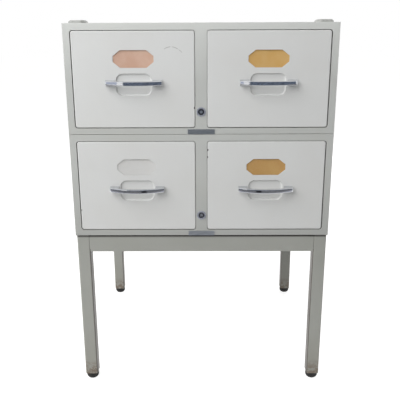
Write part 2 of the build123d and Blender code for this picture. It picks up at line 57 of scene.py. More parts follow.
# places read from the frame: metres for the modelling, millimetres for the materials
MODULE_Z = {module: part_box(f"casing_{module}")[0].z for module in MODULES}
MODULE_HEIGHT = MODULE_Z["upper"] - MODULE_Z["lower"]
FRONT_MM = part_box("front_frame_lower")[0].y / MM
STAND_TOP_MM = MODULE_Z["lower"] / MM

# camera, as solved from the photograph's edges: place in metres, angles in degrees,
# lens and sensor in millimetres
CAMERA_AT = Vector((0.0034, -1.4109, 0.7758))
CAMERA_TURN = 0.316
CAMERA_DOWN = 15.993
CAMERA_ROLL = -0.229
CAMERA_LENS = 51.258
CAMERA_SENSOR = 36.0


# ---------------------------------------------------------------- shader helpers

def linear(code):
    """An sRGB hex colour as linear RGBA."""
    channels = [int(code[i:i + 2], 16) / 255 for i in (1, 3, 5)]
    return [c / 12.92 if c <= 0.04045 else ((c + 0.055) / 1.055) ** 2.4 for c in channels] + [1.0]


def add(tree, kind, inputs=None, **settings):
    """Adds a node: settings are its own properties, inputs are socket values or sockets to link from."""
    node = tree.nodes.new("ShaderNode" + kind)
    for name, value in settings.items():
        setattr(node, name, value)
    for key, value in (inputs or {}).items():
        if isinstance(value, bpy.types.NodeSocket):
            tree.links.new(value, node.inputs[key])
        else:
            node.inputs[key].default_value = value
    return node


def new_material(name):
    """An empty node material with its output, and the piece's own coordinates in millimetres."""
    material = bpy.data.materials.new(name)
    material.use_nodes = True
    tree = material.node_tree
    tree.nodes.clear()
    output = add(tree, "OutputMaterial")
    place = add(tree, "TexCoord").outputs["Object"]
    in_mm = add(tree, "VectorMath", {0: place, "Scale": 1 / MM}, operation="SCALE").outputs[0]
    return material, tree, output, in_mm


def patches(tree, place, size, start, full, most=1.0, detail=2.0):
    """Soft-edged patches about `size` across, from none where the noise is `start` to `most` at `full`."""
    blobs = add(tree, "TexNoise", {"Vector": place, "Scale": 1 / size, "Detail": detail, "Roughness": 0.6})
    settings = {"Value": blobs.outputs["Fac"], "From Min": start, "From Max": full, "To Max": most}
    return add(tree, "MapRange", settings, interpolation_type="SMOOTHSTEP").outputs["Result"]


def coated(tree, colour, *coats):
    """A colour with coats laid over it in turn, each an amount from 0 to 1 and an sRGB hex colour."""
    for amount, code in coats:
        # a Mix node takes its two colours in sockets 6 and 7, and gives the mixed one in socket 2
        inputs = {"Factor": amount, 6: colour, 7: linear(code)}
        colour = add(tree, "Mix", inputs, data_type="RGBA").outputs[2]
    return colour


def seen_directly(tree):
    """1 where the camera, a reflection or a view through glass meets the surface, 0 for all other light."""
    path = add(tree, "LightPath").outputs
    camera_or_gloss = {0: path["Is Camera Ray"], 1: path["Is Glossy Ray"]}
    seen = add(tree, "Math", camera_or_gloss, operation="MAXIMUM").outputs[0]
    return add(tree, "Math", {0: seen, 1: path["Is Transmission Ray"]}, operation="MAXIMUM").outputs[0]


# ---------------------------------------------------------------- finishes; lengths in millimetres

def stoved_enamel(name, paint, tone, primer, gloss, chips, marks=()):
    """Stove enamel sprayed on sheet steel: a soft sheen with faint orange peel, chipped along the edges.

    `gloss` is the roughness, `chips` the noise level from which an edge is bare down to the `primer`.
    """
    edge_width, rim_from, rim_full = 1.2, 0.99, 0.9
    material, tree, output, in_mm = new_material(name)
    cloudy = patches(tree, in_mm, 110.0, start=0.35, full=0.7, most=0.6)
    handled = patches(tree, in_mm, 9.0, start=0.6, full=0.8, most=0.03, detail=5.0)
    edge = add(tree, "Bevel", {"Radius": edge_width * MM}, samples=4).outputs[0]
    flat = add(tree, "NewGeometry").outputs["Normal"]
    turn = add(tree, "VectorMath", {0: edge, 1: flat}, operation="DOT_PRODUCT").outputs["Value"]
    fade = {"Value": turn, "From Min": rim_from, "From Max": rim_full}
    rim = add(tree, "MapRange", fade).outputs["Result"]
    worn = patches(tree, in_mm, 6.0, start=chips, full=chips + 0.03, detail=4.0)
    chip = add(tree, "Math", {0: rim, 1: worn}, operation="MULTIPLY").outputs[0]
    colour = coated(tree, linear(paint), (cloudy, tone), (handled, primer), (chip, primer))
    for mark in marks:
        colour = mark(tree, in_mm, colour)
    # real orange peel is under a millimetre across and is drawn coarser here, so that it shows
    peel_size = 1.6
    peel = add(tree, "TexNoise", {"Vector": in_mm, "Scale": 1 / peel_size, "Detail": 1.0})
    skin = add(tree, "Bump", {"Strength": 0.12, "Distance": 0.03 * MM, "Height": peel.outputs["Fac"]})
    sheen = patches(tree, in_mm, 80.0, start=0.3, full=0.75)
    rough = add(tree, "MapRange", {"Value": sheen, "To Min": gloss - 0.01, "To Max": gloss + 0.04})
    shader = add(tree, "BsdfPrincipled", {
        "Base Color": colour, "Roughness": rough.outputs["Result"], "IOR": 1.5, "Normal": skin.outputs[0],
    })
    tree.links.new(shader.outputs[0], output.inputs["Surface"])
    return material


def low_rust(tree, in_mm, colour):
    """A mark: brown rust round the foot of a leg, in a taller band of floor grime."""
    rust_top, rust_full = 52.0, 24.0
    grime_top, grime_full = 140.0, 20.0
    height = add(tree, "SeparateXYZ", {0: in_mm}).outputs["Z"]
    stain = patches(tree, in_mm, 8.0, start=0.4, full=0.56, most=0.9, detail=5.0)
    fade = {"Value": height, "From Min": rust_top, "From Max": rust_full}
    near = add(tree, "MapRange", fade).outputs["Result"]
    rust = add(tree, "Math", {0: near, 1: stain}, operation="MULTIPLY").outputs[0]
    fade = {"Value": height, "From Min": grime_top, "From Max": grime_full, "To Max": 0.4}
    grime = add(tree, "MapRange", fade).outputs["Result"]
    return coated(tree, colour, (rust, "#6a5343"), (grime, "#8a8376"))


def shade_and_dust_under_cabinet(tree, in_mm, colour):
    """A mark: painted shade and brown dust on the stand's faces that look under the cabinet, and a painted
    shadow line below the casing.
    """
    line_from, line_full = STAND_TOP_MM - 5.5, STAND_TOP_MM - 2.5
    place = add(tree, "SeparateXYZ", {0: in_mm}).outputs
    normal = add(tree, "NewGeometry").outputs["True Normal"]
    facing = add(tree, "SeparateXYZ", {0: normal}).outputs["X"]
    # a face that looks towards the middle has its place and its normal on opposite sides of zero
    toward_middle = add(tree, "Math", {0: place["X"], 1: facing}, operation="MULTIPLY").outputs[0]
    fade = {"Value": toward_middle, "From Min": -60.0, "From Max": -200.0}
    inside = add(tree, "MapRange", fade).outputs["Result"]
    # painted shade, mottled with brown dust, on the faces that look towards the middle
    dust_and_shade = patches(tree, in_mm, 14.0, start=0.1, full=0.42, most=0.96, detail=4.0)
    amount = add(tree, "Math", {0: inside, 1: dust_and_shade}, operation="MULTIPLY").outputs[0]
    # painted shadow: a dark line across the stand just below the casing
    fade = {"Value": place["Z"], "From Min": line_from, "From Max": line_full, "To Max": 0.92}
    line = add(tree, "MapRange", fade).outputs["Result"]
    return coated(tree, colour, (amount, "#463d36"), (line, "#4b4945"))


def top_light_foot_shade(tree, in_mm, colour):
    """A mark: painted light, paler towards the casing's top, and painted shade, darker towards its foot."""
    top_light_from, top_light_full = 690.0, 800.0
    foot_shade_from, dirt_and_shade_full = 500.0, STAND_TOP_MM
    height = add(tree, "SeparateXYZ", {0: in_mm}).outputs["Z"]
    # painted light makes the paint paler towards the top, and painted shade makes it darker towards the foot
    fade = {"Value": height, "From Min": top_light_from, "From Max": top_light_full, "To Max": 0.8}
    bleach_and_top_light = add(tree, "MapRange", fade).outputs["Result"]
    fade = {"Value": height, "From Min": foot_shade_from, "From Max": dirt_and_shade_full, "To Max": 0.5}
    dirt_and_shade = add(tree, "MapRange", fade).outputs["Result"]
    return coated(tree, colour, (bleach_and_top_light, "#dee0dd"), (dirt_and_shade, "#a5a6a2"))


def gap_shade(tone, most):
    """Makes a mark: painted shade in the gap round a drawer front, on the faces that look into it."""
    mouth, deep = FRONT_MM + 1.0, FRONT_MM + 4.5

    def mark(tree, in_mm, colour):
        depth = add(tree, "SeparateXYZ", {0: in_mm}).outputs["Y"]
        fade = {"Value": depth, "From Min": mouth, "From Max": deep, "To Max": most}
        inward = add(tree, "MapRange", fade).outputs["Result"]
        normal = add(tree, "NewGeometry").outputs["True Normal"]
        facing = add(tree, "SeparateXYZ", {0: normal}).outputs["Y"]
        sideways = add(tree, "Math", {0: facing, 1: 0.0, 2: 0.2}, operation="COMPARE").outputs[0]
        amount = add(tree, "Math", {0: inward, 1: sideways}, operation="MULTIPLY").outputs[0]
        return coated(tree, colour, (amount, tone))
    return mark


def chipped_at(*places):
    """Makes a mark: bare spots where the paint was knocked off, each with a ragged edge."""
    spot_edge, spot_bare = 3.2, 2.4

    def mark(tree, in_mm, colour):
        ragged = patches(tree, in_mm, 2.0, start=0.3, full=0.7, most=1.6, detail=3.0)
        for place in places:
            away = add(tree, "VectorMath", {0: in_mm, 1: place}, operation="DISTANCE").outputs["Value"]
            reach = add(tree, "Math", {0: away, 1: ragged}, operation="ADD").outputs[0]
            fade = {"Value": reach, "From Min": spot_edge, "From Max": spot_bare}
            spot = add(tree, "MapRange", fade).outputs["Result"]
            colour = coated(tree, colour, (spot, "#4e4b47"))
        return colour
    return mark


def long_scratch(tree, in_mm, colour):
    """A mark: one hair-thin bent scratch, right of the window, that follows a parabola.

    A chord of that slope meets it at start_x and again at crown_x. The scratch runs above the chord
    between the two, and falls away below it past the second.
    """
    start_x, start_z, crown_x = -73.6, 752.6, -55.6
    slope, curl = 0.211, -0.0227
    middle_x, half_length = -55.7, 18.0
    half_width, core = 0.7, 0.15
    place = add(tree, "SeparateXYZ", {0: in_mm}).outputs
    from_start = add(tree, "Math", {0: place["X"], 1: -start_x}, operation="ADD").outputs[0]
    from_crown = add(tree, "Math", {0: place["X"], 1: -crown_x}, operation="ADD").outputs[0]
    chord = add(tree, "Math", {0: from_start, 1: slope, 2: start_z}, operation="MULTIPLY_ADD").outputs[0]
    bend = add(tree, "Math", {0: from_start, 1: from_crown}, operation="MULTIPLY").outputs[0]
    line = add(tree, "Math", {0: bend, 1: curl, 2: chord}, operation="MULTIPLY_ADD").outputs[0]
    off = add(tree, "Math", {0: place["Z"], 1: line}, operation="SUBTRACT").outputs[0]
    off = add(tree, "Math", {0: off}, operation="ABSOLUTE").outputs[0]
    cut = add(tree, "MapRange", {"Value": off, "From Min": half_width, "From Max": core, "To Max": 0.75})
    along = add(tree, "Math", {0: place["X"], 1: middle_x, 2: half_length}, operation="COMPARE").outputs[0]
    broken = patches(tree, in_mm, 4.0, start=0.36, full=0.5)
    seen = add(tree, "Math", {0: cut.outputs["Result"], 1: along}, operation="MULTIPLY").outputs[0]
    seen = add(tree, "Math", {0: seen, 1: broken}, operation="MULTIPLY").outputs[0]
    return coated(tree, colour, (seen, "#6b6964"))


def chrome_plate(name):
    """Bright nickel-chrome plate on a die casting: a mirror, hazed and finely pitted by handling."""
    wave_size = 5.0
    material, tree, output, in_mm = new_material(name)
    fingered = patches(tree, in_mm, 7.0, start=0.35, full=0.75, detail=5.0)
    haze = add(tree, "MapRange", {"Value": fingered, "To Min": 0.06, "To Max": 0.16})
    pits = patches(tree, in_mm, 3.0, start=0.6, full=0.72, most=0.3, detail=4.0)
    colour = coated(tree, linear("#d6d8db"), (pits, "#8d8a86"))
    wave = add(tree, "TexNoise", {"Vector": in_mm, "Scale": 1 / wave_size, "Detail": 2.0})
    buffed = add(tree, "Bump", {"Strength": 0.25, "Distance": 0.15 * MM, "Height": wave.outputs["Fac"]})
    shader = add(tree, "BsdfPrincipled", {
        "Base Color": colour, "Metallic": 1.0, "Roughness": haze.outputs["Result"],
        "Normal": buffed.outputs[0],
    })
    tree.links.new(shader.outputs[0], output.inputs["Surface"])
    return material


def turned_nickel(name, lock_z):
    """Nickel plate over turned brass: bright where the key rubs, old dirt on the rest of the plug.

    The rim round the plug is hazed. The four lengths are radii from the axis of the lock.
    """
    key_rubs, dirt_and_shade_full, plug_edge, rim_from = 2.6, 4.4, 6.3, 6.4
    material, tree, output, in_mm = new_material(name)
    to_axis = {"Vector": in_mm, "Location": (0, 0, -lock_z), "Scale": (1, 0, 1)}
    from_axis = add(tree, "Mapping", to_axis).outputs[0]
    radius = add(tree, "VectorMath", {0: from_axis}, operation="LENGTH").outputs["Value"]
    ragged = patches(tree, in_mm, 1.2, start=0.3, full=0.7, most=1.4, detail=3.0)
    edge = add(tree, "Math", {0: radius, 1: ragged}, operation="ADD").outputs[0]
    fade = {"Value": edge, "From Min": key_rubs, "From Max": dirt_and_shade_full, "To Max": 0.85}
    dirt_and_shade = add(tree, "MapRange", fade).outputs["Result"]
    on_plug = add(tree, "Math", {0: radius, 1: plug_edge}, operation="LESS_THAN").outputs[0]
    dirt_and_shade = add(tree, "Math", {0: dirt_and_shade, 1: on_plug}, operation="MULTIPLY").outputs[0]
    wear = patches(tree, in_mm, 2.5, start=0.4, full=0.7, detail=4.0)
    rough = add(tree, "MapRange", {"Value": wear, "To Min": 0.3, "To Max": 0.42}).outputs["Result"]
    rim = add(tree, "Math", {0: radius, 1: rim_from}, operation="GREATER_THAN").outputs[0]
    rough = add(tree, "Math", {0: rim, 1: 0.2, 2: rough}, operation="MULTIPLY_ADD").outputs[0]
    hazed = add(tree, "Math", {0: rim, 1: 0.6}, operation="MULTIPLY").outputs[0]
    colour = coated(tree, linear("#dfe2e6"), (wear, "#c6c9cc"), (hazed, "#9fa3b2"), (dirt_and_shade, "#4a4c50"))
    shader = add(tree, "BsdfPrincipled", {"Base Color": colour, "Metallic": 1.0, "Roughness": rough})
    tree.links.new(shader.outputs[0], output.inputs["Surface"])
    return material


def satin_aluminium(name):
    """Satin aluminium sheet: a grey metal with fine brushed lines along its length."""
    material, tree, output, in_mm = new_material(name)
    # noise drawn out twenty times along X and squeezed to a third of its height gives the brushed lines
    brushing = (0.05, 1.0, 3.0)
    drawn = add(tree, "Mapping", {"Vector": in_mm, "Scale": brushing}).outputs[0]
    lines = patches(tree, drawn, 1.0, start=0.3, full=0.7, detail=3.0)
    rough = add(tree, "MapRange", {"Value": lines, "To Min": 0.42, "To Max": 0.55})
    shader = add(tree, "BsdfPrincipled", {
        "Base Color": coated(tree, linear("#bec2c5"), (lines, "#9fa4a9")),
        "Metallic": 1.0, "Roughness": rough.outputs["Result"],
    })
    tree.links.new(shader.outputs[0], output.inputs["Surface"])
    return material


def zinc_plate(name):
    """Zinc-plated pressed steel: pale grey metal with a soft spangle and dull patches."""
    spangle_size = 7.0
    material, tree, output, in_mm = new_material(name)
    cells = add(tree, "TexVoronoi", {"Vector": in_mm, "Scale": 1 / spangle_size}).outputs["Color"]
    spangle = add(tree, "SeparateColor", {0: cells}).outputs[0]
    stained = patches(tree, in_mm, 18.0, start=0.3, full=0.7, detail=4.0)
    dull = add(tree, "MapRange", {"Value": stained, "To Min": 0.32, "To Max": 0.5})
    shader = add(tree, "BsdfPrincipled", {
        "Base Color": coated(tree, linear("#a9adb0"), (spangle, "#c4c8ca")),
        "Metallic": 1.0, "Roughness": dull.outputs["Result"],
    })
    tree.links.new(shader.outputs[0], output.inputs["Surface"])
    return material


def moulded_rubber(name):
    """Black moulded rubber: dull and fine-pored, a little grey with dust."""
    pore_size = 0.8
    material, tree, output, in_mm = new_material(name)
    dust_and_shade = patches(tree, in_mm, 5.0, start=0.4, full=0.75, most=0.5, detail=5.0)
    pores = add(tree, "TexNoise", {"Vector": in_mm, "Scale": 1 / pore_size, "Detail": 2.0})
    bump = add(tree, "Bump", {"Strength": 0.3, "Distance": 0.1 * MM, "Height": pores.outputs["Fac"]})
    shader = add(tree, "BsdfPrincipled", {
        "Base Color": coated(tree, linear("#141413"), (dust_and_shade, "#35332f")),
        "Roughness": 0.72, "IOR": 1.52, "Normal": bump.outputs[0],
    })
    tree.links.new(shader.outputs[0], output.inputs["Surface"])
    return material


def card_stock(name, dyed, faded):
    """Dyed index card: matt, with faint fibres, faded unevenly by light."""
    material, tree, output, in_mm = new_material(name)
    bleach_and_top_light = patches(tree, in_mm, 35.0, start=0.35, full=0.7)
    # real fibres are finer than this and are drawn coarser, so that they show; they lie along X
    fibre_size, grain = 0.9, (0.4, 1.0, 2.0)
    along = add(tree, "Mapping", {"Vector": in_mm, "Scale": grain}).outputs[0]
    fibre = patches(tree, along, fibre_size, start=0.45, full=0.7, most=0.1, detail=3.0)
    bump = add(tree, "Bump", {"Strength": 0.15, "Distance": 0.05 * MM, "Height": fibre})
    shader = add(tree, "BsdfPrincipled", {
        "Base Color": coated(tree, linear(dyed), (bleach_and_top_light, faded), (fibre, "#f2e6d2")),
        "Roughness": 0.85, "IOR": 1.45, "Normal": bump.outputs[0],
    })
    tree.links.new(shader.outputs[0], output.inputs["Surface"])
    return material


# paint, its second tone, primer, roughness and chip level
DRAWER_PAINT = ("#e1e2e1", "#dededc", "#77736c", 0.3, 0.68)
CASING_PAINT = ("#c6c8c5", "#c3c4bf", "#5f5c57", 0.34, 0.64)
STAND_PAINT = ("#abaca6", "#a6a7a0", "#5f5a50", 0.36, 0.62)
PAD_PAINT = ("#b9bab7", "#a3a4a0", "#5f5c57", 0.42, 0.5)
# painted shade in the gaps round the drawer fronts: milder on the fronts' sides, darker on the frame's
# returns
FRONT_SIDE_SHADE = gap_shade("#706d67", 0.75)
FRAME_GAP_SHADE = gap_shade("#3d3b38", 0.92)
FINISHES = {
    "casing_paint": stoved_enamel("stoved_enamel_grey", *CASING_PAINT, (top_light_foot_shade,)),
    "drawer_paint": stoved_enamel("stoved_enamel_ivory", *DRAWER_PAINT, (FRONT_SIDE_SHADE,)),
    "stand_paint": stoved_enamel("stoved_enamel_stand", *STAND_PAINT, (low_rust, shade_and_dust_under_cabinet)),
    "chrome": chrome_plate("chrome_plate"),
    "badge_aluminium": satin_aluminium("satin_aluminium"),
    "zinc_steel": zinc_plate("zinc_plate"),
    "foot_rubber": moulded_rubber("moulded_rubber"),
    "card_upper_left": card_stock("card_salmon", "#cfa893", "#d6b5a2"),
    "card_upper_right": card_stock("card_ochre", "#d2a763", "#d5ae6f"),
    "card_lower_left": card_stock("card_white", "#d8d8d7", "#d4d4d2"),
    "card_lower_right": card_stock("card_ochre_dark", "#c0965b", "#c49d62"),
}
# drawer fronts with marks of their own: their chips are on edges beside the mullion or the left stile
MARKED_FRONTS = {
    "upper_left": (long_scratch, chipped_at((-12.7, FRONT_MM, 635.5))),
    "lower_left": (chipped_at((-259.4, FRONT_MM, 417.7)),),
    "lower_right": (chipped_at((12.8, FRONT_MM, 548.2), (12.8, FRONT_MM, 533.3)),),
}
SLOT_OF = {part["node"]: part["material_slot"] for part in frame["record"]["subparts"]}
for node_name, node in frame["nodes"].items():
    node.data.materials.clear()
    node.data.materials.append(FINISHES[SLOT_OF[node_name]])
framed = stoved_enamel("stoved_enamel_frame", *CASING_PAINT, (top_light_foot_shade, FRAME_GAP_SHADE))
scuffed = stoved_enamel("stoved_enamel_pads", *PAD_PAINT)
for module in MODULES:
    frame["nodes"][f"front_frame_{module}"].data.materials[0] = framed
    frame["nodes"][f"stacking_pads_{module}"].data.materials[0] = scuffed
    low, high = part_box(f"lock_body_{module}")
    nickel = turned_nickel(f"turned_nickel_{module}", (low.z + high.z) / 2 / MM)
    for lock_piece in ("lock_body", "lock_plug"):
        frame["nodes"][f"{lock_piece}_{module}"].data.materials[0] = nickel
for drawer, marks in MARKED_FRONTS.items():
    enamel = stoved_enamel(f"stoved_enamel_{drawer}", *DRAWER_PAINT, (FRONT_SIDE_SHADE, *marks))
    frame["nodes"][f"front_panel_{drawer}"].data.materials[0] = enamel


# ---------------------------------------------------------------- modelling helpers

# a point this near a cut counts as on it
ON_CUT = 0.1 * MM


def choose(piece, keep):
    """In edit mode, selects the faces whose centre and normal pass the test."""
    mesh = bmesh.from_edit_mesh(piece.data)
    bpy.ops.mesh.select_mode(type="FACE")
    bpy.ops.mesh.select_all(action="DESELECT")
    for face in mesh.faces:
        face.select = keep(face.calc_center_median(), face.normal)
    mesh.select_flush_mode()
    bmesh.update_edit_mesh(piece.data)


def choose_edges(piece, keep):
    """In edit mode, selects the edges whose two ends both pass the test."""
    mesh = bmesh.from_edit_mesh(piece.data)
    bpy.ops.mesh.select_mode(type="EDGE")
    bpy.ops.mesh.select_all(action="DESELECT")
    for edge in mesh.edges:
        edge.select = all(keep(vert.co) for vert in edge.verts)
    bmesh.update_edit_mesh(piece.data)


def choose_points(piece, keep):
    """In edit mode, selects the points that pass the test."""
    mesh = bmesh.from_edit_mesh(piece.data)
    bpy.ops.mesh.select_mode(type="VERT")
    bpy.ops.mesh.select_all(action="DESELECT")
    for vert in mesh.verts:
        vert.select = keep(vert.co)
    bmesh.update_edit_mesh(piece.data)


def move_points(piece, keep, by):
    """In edit mode, moves the points that pass the test."""
    choose_points(piece, keep)
    bpy.ops.transform.translate(value=by)


def cut_across(places):
    """In edit mode, cuts the piece across X at each place."""
    for x in places:
        bpy.ops.mesh.select_all(action="SELECT")
        bpy.ops.mesh.bisect(plane_co=(x, 0, 0), plane_no=(1, 0, 0))


def start(name):
    """Names the primitive just added, settles its place and opens it in edit mode with nothing chosen."""
    piece = bpy.context.object
    piece.name = name
    bpy.ops.object.transform_apply(location=True, rotation=True, scale=True)
    bpy.ops.object.mode_set(mode="EDIT")
    bpy.ops.mesh.select_all(action="DESELECT")
    return piece


def rounded(piece, sharp=35):
    """Closes edit mode and shades smooth across every edge that turns by less than `sharp` degrees."""
    bpy.ops.object.mode_set(mode="OBJECT")
    bpy.ops.object.shade_smooth_by_angle(angle=radians(sharp))
    return piece


def laid_out(model, name, places, body, slot):
    """Copies of a fitting, each turned and placed, as one piece on a body; its place is in its mesh."""
    copies = []
    for turn, place in places:
        copy = model.copy()
        copy.data = model.data.copy()
        copy.data.transform(Matrix.Translation(place) @ turn)
        bpy.context.collection.objects.link(copy)
        copies.append(copy)
    bpy.ops.object.select_all(action="DESELECT")
    for copy in copies:
        copy.select_set(True)
    bpy.context.view_layer.objects.active = copies[0]
    if len(copies) > 1:
        bpy.ops.object.join()
    piece = bpy.context.object
    piece.name = name
    piece.data.materials.clear()
    piece.data.materials.append(FINISHES[slot])
    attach(piece, body)
    return piece


def put_away(model):
    """Removes a model once its copies are placed."""
    bpy.data.objects.remove(model, do_unlink=True)


# turns from a fitting's own +Z to the side it faces
FACE_FRONT = Matrix.Rotation(radians(90), 4, "X")
FACE_REAR = Matrix.Rotation(radians(-90), 4, "X")
FACE_RIGHT = Matrix.Rotation(radians(90), 4, "Y")
FACE_LEFT = Matrix.Rotation(radians(-90), 4, "Y")
# turn from a bead along +X to one that stands up
UPRIGHT = Matrix.Rotation(radians(-90), 4, "Y")


# ---------------------------------------------------------------- small fittings

def blind_rivet(radius, height):
    """A domed rivet head that faces +Z with the pit its pin left, its lower half sunk below z = 0."""
    dome, pit_depth = 0.55 * height, 0.45 * height
    rim, lip = 0.22 * radius, 0.06 * radius
    bpy.ops.mesh.primitive_cylinder_add(vertices=20, radius=radius, depth=height)
    head = start("rivet_model")
    choose(head, lambda centre, normal: normal.z > 0.9)
    bpy.ops.mesh.bevel(offset=dome, segments=3, affect="EDGES")
    choose(head, lambda centre, normal: normal.z > 0.99 and centre.z > 0.3 * height)
    bpy.ops.mesh.inset(thickness=rim)
    bpy.ops.mesh.inset(thickness=lip)
    bpy.ops.mesh.extrude_region_move(TRANSFORM_OT_translate={"value": (0, 0, -pit_depth)})
    return rounded(head)


def pan_screw(radius, height):
    """A pan-head screw that faces +Z, with a straight slot, its lower half sunk below z = 0."""
    crown, slot_depth, half_slot = 0.35 * height, 0.4 * height, 0.13 * radius
    bpy.ops.mesh.primitive_cylinder_add(vertices=24, radius=radius, depth=height)
    head = start("screw_model")
    choose(head, lambda centre, normal: normal.z > 0.9)
    bpy.ops.mesh.bevel(offset=crown, segments=3, affect="EDGES")
    for side in (-1, 1):
        bpy.ops.mesh.select_all(action="SELECT")
        bpy.ops.mesh.bisect(plane_co=(0, side * half_slot, 0), plane_no=(0, 1, 0))
    choose(head, lambda centre, normal: normal.z > 0.5 and abs(centre.y) < half_slot)
    bpy.ops.mesh.extrude_region_move(TRANSFORM_OT_translate={"value": (0, 0, -slot_depth)})
    return rounded(head)


def weld_bead(length, size):
    """A fillet weld along +X from the origin: a rounded bead with the ripples of its puddles."""
    puddle, at_end, at_ripple = 1.6 * MM, 0.45, 0.8
    bpy.ops.mesh.primitive_cylinder_add(
        vertices=12, radius=size, depth=length, location=(length / 2, 0, 0), rotation=(0, radians(90), 0))
    bead = start("weld_model")
    ripples = int(length / puddle)
    cut_across(length * step / ripples for step in range(1, ripples))
    for step in range(0, ripples + 1, 2):
        choose_points(bead, lambda point: abs(point.x - length * step / ripples) < ON_CUT)
        thin = at_end if step in (0, ripples) else at_ripple
        bpy.ops.transform.resize(value=(1, thin, thin))
    bpy.ops.object.mode_set(mode="OBJECT")
    bpy.ops.object.shade_smooth()
    return bead


def index_card(size):
    """A card bowed a little away from its window, as a card slid into a holder sits."""
    bow_depth, strips = 1.6 * MM, 12
    bpy.ops.mesh.primitive_cube_add(size=1.0, scale=size)
    card = start("card_model")
    columns = [size.x * step / strips for step in range(1 - strips // 2, strips // 2)]
    cut_across(columns)
    for x in columns:
        bow = bow_depth * (1 - (2 * x / size.x) ** 2)
        move_points(card, lambda point: abs(point.x - x) < ON_CUT, (0, bow, 0))
    return rounded(card)


def bow_handle():
    """The cast bow handle: a bent bar whose ends flare to the panel at y = 0, its edges buffed round.

    Every reach is a distance in front of the panel. The grip's half length is where the solid ends start.
    """
    length, height, waist, thickness = 115 * MM, 12.4 * MM, 9 * MM, 7 * MM
    reach, end_reach, flare_reach = 25 * MM, 10.5 * MM, 6.5 * MM
    grip, grip_reach, grip_wall = 38 * MM, 13 * MM, 0.6 * MM
    lower_bevel, upper_bevel, buffing = 0.9 * MM, 1.3 * MM, 0.7 * MM
    aside = 50 * MM
    # the outer face and the grip's inner face are arcs, each through its middle and its two ends
    rise, inner_rise = reach - end_reach, reach - thickness - grip_reach
    outer = (length ** 2 / 4 + rise ** 2) / (2 * rise)
    inner = (grip ** 2 + inner_rise ** 2) / (2 * inner_rise)

    def front(x):
        return outer - reach - (outer ** 2 - x ** 2) ** 0.5

    def back(x):
        return inner + thickness - reach - (inner ** 2 - x ** 2) ** 0.5

    bpy.ops.mesh.primitive_cube_add(size=1.0, scale=(length, thickness, waist))
    bow = start("handle_model")
    wall = grip + grip_wall
    # cuts every 3 mm on the solid ends, every 4 mm on the grip, and one at each end's inner wall
    right_end = [x * MM for x in range(42, 55, 3)]
    left_end = [-x for x in reversed(right_end)]
    middle = [x * MM for x in range(-38, 39, 4)]
    columns = [*left_end, -wall, *middle, wall, *right_end]
    cut_across(columns)
    # the back of each column is parked aside while its front is moved, and brought back at the end
    for x in (-length / 2, *columns, length / 2):
        depth = back(x) if abs(x) < grip + ON_CUT else -flare_reach
        move_points(bow, lambda point: abs(point.x - x) < ON_CUT and point.y > 0,
                    (0, depth - thickness / 2 - aside, 0))
        move_points(bow, lambda point: abs(point.x - x) < ON_CUT and point.y > -thickness,
                    (0, front(x) + thickness / 2, 0))
    move_points(bow, lambda point: point.y < -0.8 * aside, (0, aside, 0))
    choose(bow, lambda centre, normal: normal.y > 0.9 and abs(centre.x) > grip + grip_wall / 2)
    bpy.ops.mesh.extrude_region_move(TRANSFORM_OT_translate={"value": (0, flare_reach, 0)})
    bpy.ops.transform.resize(value=(1, 1, height / waist))
    for side, bevel in ((-1, lower_bevel), (1, upper_bevel)):
        choose_edges(bow, lambda point: (
            point.z * side > 0.4 * waist and abs(point.y - front(point.x)) < 2 * ON_CUT))
        bpy.ops.mesh.bevel(offset=bevel, segments=3, affect="EDGES")
    bpy.ops.object.mode_set(mode="OBJECT")
    soften = bow.modifiers.new("buffed_edges", "BEVEL")
    soften.width = buffing
    soften.segments = 3
    soften.limit_method = "ANGLE"
    soften.angle_limit = radians(40)
    bpy.ops.object.modifier_apply(modifier=soften.name)
    return rounded(bow, 50)


# ---------------------------------------------------------------- the fittings in their places

low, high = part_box("label_card_upper_left")
card = index_card(high - low)
handle = bow_handle()
for drawer in DRAWERS:
    low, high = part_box(f"label_card_{drawer}")
    middle = (low + high) / 2
    piece = laid_out(card, f"index_card_{drawer}", [(Matrix(), middle)], f"drawer_{drawer}", f"card_{drawer}")
    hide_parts(f"label_card_{drawer}")
    low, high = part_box(f"handle_{drawer}")
    seat = Vector(((low.x + high.x) / 2, high.y, (low.z + high.z) / 2))
    piece = laid_out(handle, f"bow_handle_{drawer}", [(Matrix(), seat)], f"drawer_{drawer}", "chrome")
    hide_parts(f"handle_{drawer}")
put_away(card)
put_away(handle)

# two screws behind the solid ends of each handle
SCREW_INSET = 9.75 * MM
screw = pan_screw(radius=4.2 * MM, height=2.2 * MM)
for drawer in DRAWERS:
    low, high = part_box(f"handle_{drawer}")
    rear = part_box(f"front_liner_{drawer}")[1].y
    level = (low.z + high.z) / 2
    fixings = [(FACE_REAR, Vector((x, rear, level))) for x in (low.x + SCREW_INSET, high.x - SCREW_INSET)]
    laid_out(screw, f"handle_screws_{drawer}", fixings, f"drawer_{drawer}", "zinc_steel")
put_away(screw)

